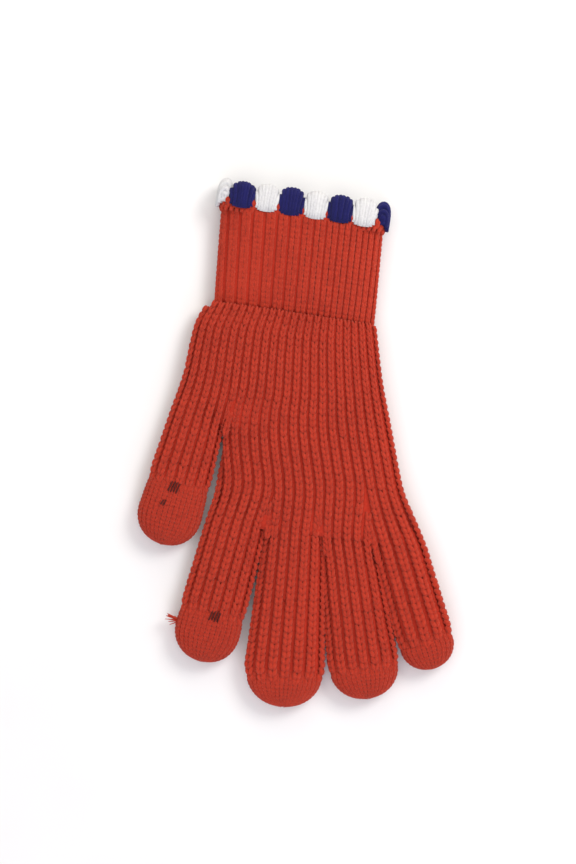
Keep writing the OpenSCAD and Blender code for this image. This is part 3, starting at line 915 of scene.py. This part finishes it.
def putYarnEnd(name, node, body, inner, aim, count, length):
    # a frayed tuft: thin strands that fan out and curl from the darned end
    low, high = [np.array(c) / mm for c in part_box(node)]
    root = np.array([high[0] if aim[0] < 0 else low[0], (low[1] + high[1]) / 2, low[2] + 1.5]) + inner
    aim = unit(np.array(aim, float))
    t = np.linspace(0, 1, 8)
    fan = dice.normal(0, sewn["fan"], (count, 3))
    curl = dice.normal(0, sewn["curl"], (count, 3))
    reach = length * (sewn["shortest"] + (1 - sewn["shortest"]) * dice.random(count))
    straight = reach[:, None, None] * (t[:, None] * (aim + fan)[:, None])
    paths = root + straight + curl[:, None] * (t ** 2)[:, None]
    paths[..., 2] = np.maximum(paths[..., 2], sewn["lowest"])
    radius = sewn["hair"] * (1 - sewn["taper"] * t)
    piece = putTubes(name, paths, radius, np.array([0, 0.3, 1.0]), redYarn, 5)
    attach(dress(piece), body)
    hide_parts(node)


putTouchThread("thumb")
putTouchThread("index")
for node, (z, turn) in sewn["darns"].items():
    putDarn(node, z, turn)
putYarnEnd("index_tuft", "index_yarn_end", "index_upper", (2.6, 0, 0), (-1, 0.3, 0.15), 14, 5.4)
putYarnEnd("little_tuft", "little_yarn_end", "little_lower", (-1.6, 0, 0), (1, 0.6, 0.15), 7, 3)
print("sewn work done")

view = {"middle": (-3.4, 4.3), "height": 380, "lens": 85, "sensor": 36, "plane": 8}
studio = {
    "lamps": {     # place, size, power, colour
        "key": ((0.5, 0.42, 0.7), 0.4, 4.5, (1, 0.98, 0.95)),
        "fill": ((-0.2, -0.1, 1.1), 1.2, 3.8, (1, 1, 1)),
        "warm": ((0.1, 0.8, 0.5), 0.5, 1.4, (1, 0.8, 0.6)),
        "cool": ((0.15, -0.8, 0.5), 0.5, 1.7, (0.9, 0.75, 1))},
    "air": 0.57, "floorReach": 3, "floorDark": 0.84, "floorLight": 0.88,
}


def putFloor():
    # one flat square under everything, very slightly mottled
    r = studio["floorReach"]
    mesh = bpy.data.meshes.new("floor")
    mesh.from_pydata([(-r, -r, 0), (r, -r, 0), (r, r, 0), (-r, r, 0)], [], [(0, 1, 2, 3)])
    floor = bpy.data.objects.new("floor", mesh)
    bpy.context.scene.collection.objects.link(floor)
    material = bpy.data.materials.new("pale table")
    material.use_nodes = True
    nodes, links = material.node_tree.nodes, material.node_tree.links
    grain = nodes.new("ShaderNodeTexNoise")
    grain.inputs["Scale"].default_value = 30
    place = nodes.new("ShaderNodeTexCoord")
    links.new(place.outputs["Object"], grain.inputs["Vector"])
    ramp = nodes.new("ShaderNodeValToRGB")
    for stop, grey in zip(ramp.color_ramp.elements, (studio["floorDark"], studio["floorLight"])):
        stop.color = (grey, grey, grey, 1)
    links.new(grain.outputs["Fac"], ramp.inputs["Fac"])
    links.new(ramp.outputs["Color"], nodes["Principled BSDF"].inputs["Base Color"])
    nodes["Principled BSDF"].inputs["Roughness"].default_value = 0.9
    mesh.materials.append(material)


def putLamp(name, at, size, power, colour):
    # a square lamp turned to face the origin
    lamp = bpy.data.lights.new(name, "AREA")
    lamp.size = size
    lamp.energy = power
    lamp.color = colour
    obj = bpy.data.objects.new(name, lamp)
    bpy.context.scene.collection.objects.link(obj)
    obj.location = at
    aim = -np.array(at)
    tilt = math.atan2(math.hypot(aim[0], aim[1]), -aim[2])
    obj.rotation_euler = (tilt, 0, math.atan2(aim[1], aim[0]) - math.pi / 2)


putFloor()
for name, lamp in studio["lamps"].items():
    putLamp(name, *lamp)
world = bpy.data.worlds.new("studio air")
world.use_nodes = True
world.node_tree.nodes["Background"].inputs["Color"].default_value = (1, 1, 1, 1)
world.node_tree.nodes["Background"].inputs["Strength"].default_value = studio["air"]
bpy.context.scene.world = world
bpy.context.scene.view_settings.view_transform = "Standard"

lens = bpy.data.cameras.new("camera")
lens.lens = view["lens"]
camera = bpy.data.objects.new("camera", lens)
bpy.context.scene.collection.objects.link(camera)
distance = view["height"] * view["lens"] / view["sensor"]      # the frame's height fills the sensor
camera.location = (view["middle"][0] * mm, view["middle"][1] * mm, (distance + view["plane"]) * mm)
bpy.context.scene.camera = camera
print("studio set")
